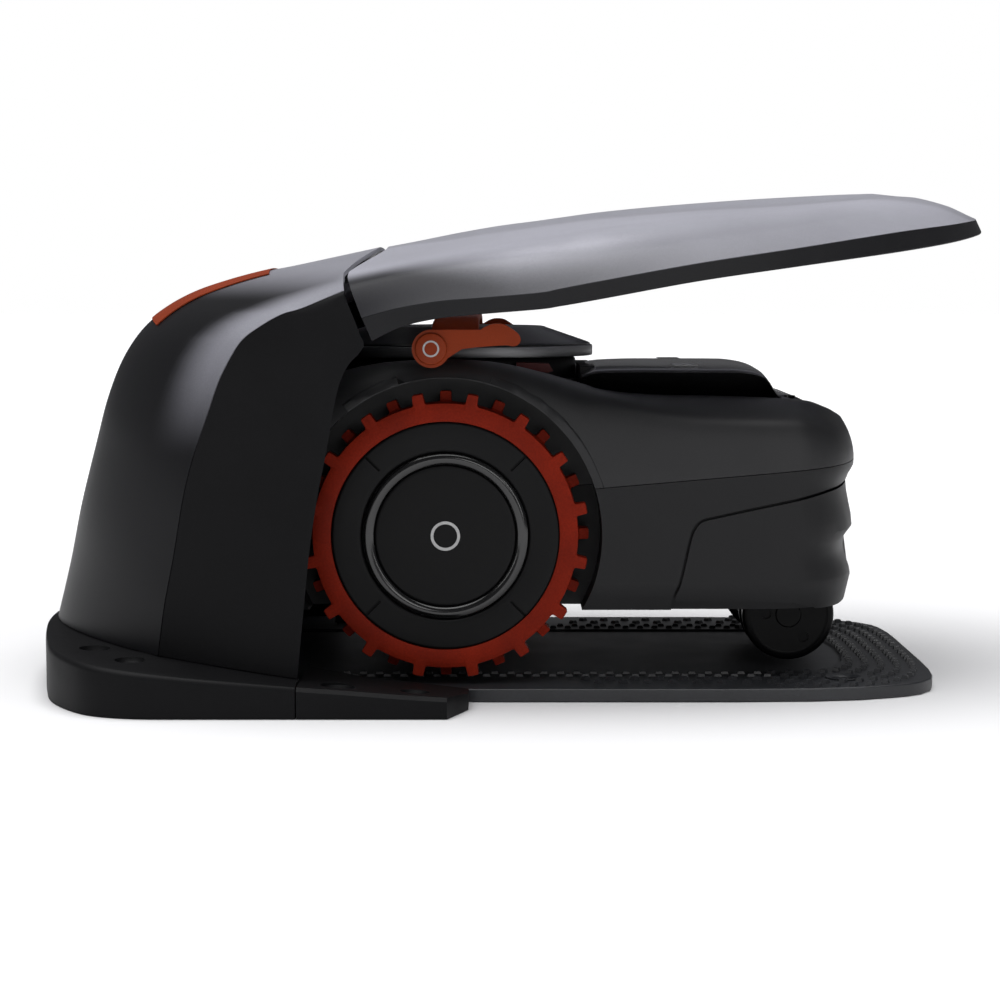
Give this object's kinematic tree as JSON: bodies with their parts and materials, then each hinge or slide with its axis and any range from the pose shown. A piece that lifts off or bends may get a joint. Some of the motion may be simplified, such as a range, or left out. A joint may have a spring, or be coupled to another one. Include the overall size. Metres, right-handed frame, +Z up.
{
  "type": "robotic lawn mower",
  "caption": "Robotic lawn mower on its charging base under a garage with a hinged lid; lugged drive wheels, front casters, stop turret, carry handle and cutting disc.",
  "frame": {"origin": "the middle of the footprint, on the ground under the garage and the base", "axes": "+X the mower's forward direction, out of the garage; +Y to the mower's left; +Z up"},
  "size_m": [0.8109, 0.57, 0.4108],
  "materials": {
    "silver_paint": "satin metallic silver paint",
    "dark_rim": "satin",
    "charcoal_plastic": "matt, finely textured",
    "mat_plastic": "matt, moulded",
    "orange_plastic": "satin",
    "mower_plastic": "satin, finely textured",
    "gloss_black": "polished",
    "soft_black": "matt",
    "bright_band": "satin",
    "red_lens": "translucent look",
    "orange_tyre": "matt rubber",
    "black_rubber": "satin",
    "motor_metal": "brushed",
    "steel": "brushed",
    "contact_brass": "satin",
    "green_board": "lacquered",
    "battery_wrap": "satin wrap"
  },
  "bodies": {
    "station": {"base_plate": "mat_plastic", "dock_foot_l": "charcoal_plastic", "dock_foot_r": "charcoal_plastic", "skirt": "charcoal_plastic", "garage_shell": "silver_paint", "side_panel_l": "charcoal_plastic", "side_panel_r": "charcoal_plastic", "accent_strip": "orange_plastic", "charging_tower": "soft_black", "charger_board": "green_board", "contact_head": "soft_black", "hinge_bracket_l": "soft_black", "hinge_bracket_r": "soft_black", "hinge_pin_l": "steel", "hinge_pin_r": "steel"},
    "lid": {"lid_shell": "silver_paint", "lid_rim": "dark_rim", "hinge_arm_l": "soft_black", "hinge_arm_r": "soft_black"},
    "contact_l": {"contact_pad_l": "contact_brass"},
    "contact_r": {"contact_pad_r": "contact_brass"},
    "mower": {"lower_shell": "mower_plastic", "upper_cover": "mower_plastic", "deck_panel": "gloss_black", "turret_base": "soft_black", "status_lamp_l": "red_lens", "status_lamp_r": "red_lens", "battery": "battery_wrap", "control_board": "green_board", "board_mount": "soft_black", "chassis": "soft_black", "drive_motor_l": "motor_metal", "drive_motor_r": "motor_metal", "charge_plate_l": "contact_brass", "charge_plate_r": "contact_brass"},
    "bumper": {"bumper": "mower_plastic"},
    "stop_button": {"stop_cap": "gloss_black", "stop_band": "bright_band"},
    "handle": {"handle": "orange_plastic", "handle_cap_l": "orange_plastic", "handle_cap_r": "orange_plastic"},
    "wheel_l": {"tyre_l": "orange_tyre", "wheel_rim_l": "soft_black", "hub_cover_l": "soft_black", "hub_ring_l": "gloss_black"},
    "wheel_r": {"tyre_r": "orange_tyre", "wheel_rim_r": "soft_black", "hub_cover_r": "soft_black", "hub_ring_r": "gloss_black"},
    "caster_swivel_l": {"caster_fork_l": "soft_black"},
    "caster_swivel_r": {"caster_fork_r": "soft_black"},
    "caster_roller_l": {"caster_wheel_l": "black_rubber"},
    "caster_roller_r": {"caster_wheel_r": "black_rubber"},
    "carriage": {"height_carriage": "soft_black", "blade_motor": "motor_metal"},
    "disc": {"blade_disc": "motor_metal"},
    "blade_arm_1": {"blade_1": "steel"},
    "blade_arm_2": {"blade_2": "steel"},
    "blade_arm_3": {"blade_3": "steel"}
  },
  "joints": [
    {"name": "lid_hinge", "type": "hinge", "parent": "station", "child": "lid", "pos_m": [-0.13625, 0, 0.34], "axis": [0, -1, 0], "range_deg": [0, 45]},
    {"name": "mower_drive", "type": "slide", "parent": "station", "child": "mower", "axis": [1, 0, 0], "range_m": [0, 0.6]},
    {"name": "bumper_press", "type": "slide", "parent": "mower", "child": "bumper", "axis": [-1, 0, 0], "range_m": [0, 0.0012], "stiffness_N_per_m": 2500, "springref_m": -0.003},
    {"name": "stop_press", "type": "slide", "parent": "mower", "child": "stop_button", "axis": [0, 0, -1], "range_m": [0, 0.003], "stiffness_N_per_m": 3000, "springref_m": -0.007},
    {"name": "handle_hinge", "type": "hinge", "parent": "mower", "child": "handle", "pos_m": [-0.06885, 0, 0.2808], "axis": [0, -1, 0], "range_deg": [0, 25]},
    {"name": "carriage_lift", "type": "slide", "parent": "mower", "child": "carriage", "axis": [0, 0, 1], "range_m": [-0.015, 0.018]},
    {"name": "disc_spin", "type": "hinge", "parent": "carriage", "child": "disc", "pos_m": [-0.05425, 0, 0.053], "axis": [0, 0, 1], "continuous": true},
    {"name": "contact_press_l", "type": "slide", "parent": "station", "child": "contact_l", "axis": [-1, 0, 0], "range_m": [0, 0.003], "stiffness_N_per_m": 400, "springref_m": -0.003},
    {"name": "wheel_spin_l", "type": "hinge", "parent": "mower", "child": "wheel_l", "pos_m": [-0.05775, 0.17, 0.131], "axis": [0, 1, 0], "continuous": true},
    {"name": "caster_turn_l", "type": "hinge", "parent": "mower", "child": "caster_swivel_l", "pos_m": [0.20075, 0.08, 0.095], "axis": [0, 0, 1], "continuous": true},
    {"name": "caster_spin_l", "type": "hinge", "parent": "caster_swivel_l", "child": "caster_roller_l", "pos_m": [0.22875, 0.08, 0.0553], "axis": [0, 1, 0], "continuous": true},
    {"name": "contact_press_r", "type": "slide", "parent": "station", "child": "contact_r", "axis": [-1, 0, 0], "range_m": [0, 0.003], "stiffness_N_per_m": 400, "springref_m": -0.003},
    {"name": "wheel_spin_r", "type": "hinge", "parent": "mower", "child": "wheel_r", "pos_m": [-0.05775, -0.17, 0.131], "axis": [0, 1, 0], "continuous": true},
    {"name": "caster_turn_r", "type": "hinge", "parent": "mower", "child": "caster_swivel_r", "pos_m": [0.20075, -0.08, 0.095], "axis": [0, 0, 1], "continuous": true},
    {"name": "caster_spin_r", "type": "hinge", "parent": "caster_swivel_r", "child": "caster_roller_r", "pos_m": [0.22875, -0.08, 0.0553], "axis": [0, 1, 0], "continuous": true},
    {"name": "blade_swing_1", "type": "hinge", "parent": "disc", "child": "blade_arm_1", "pos_m": [-0.05425, 0.06, 0.049], "axis": [0, 0, 1], "range_deg": [-50, 50]},
    {"name": "blade_swing_2", "type": "hinge", "parent": "disc", "child": "blade_arm_2", "pos_m": [-0.10621, -0.03, 0.049], "axis": [0, 0, 1], "range_deg": [-50, 50]},
    {"name": "blade_swing_3", "type": "hinge", "parent": "disc", "child": "blade_arm_3", "pos_m": [-0.00229, -0.03, 0.049], "axis": [0, 0, 1], "range_deg": [-50, 50]}
  ],
  "couplings": [
    {"joint": "wheel_spin_l", "follows": "mower_drive", "rad_per_m": 8.6655},
    {"joint": "wheel_spin_r", "follows": "mower_drive", "rad_per_m": 8.6655}
  ]
}
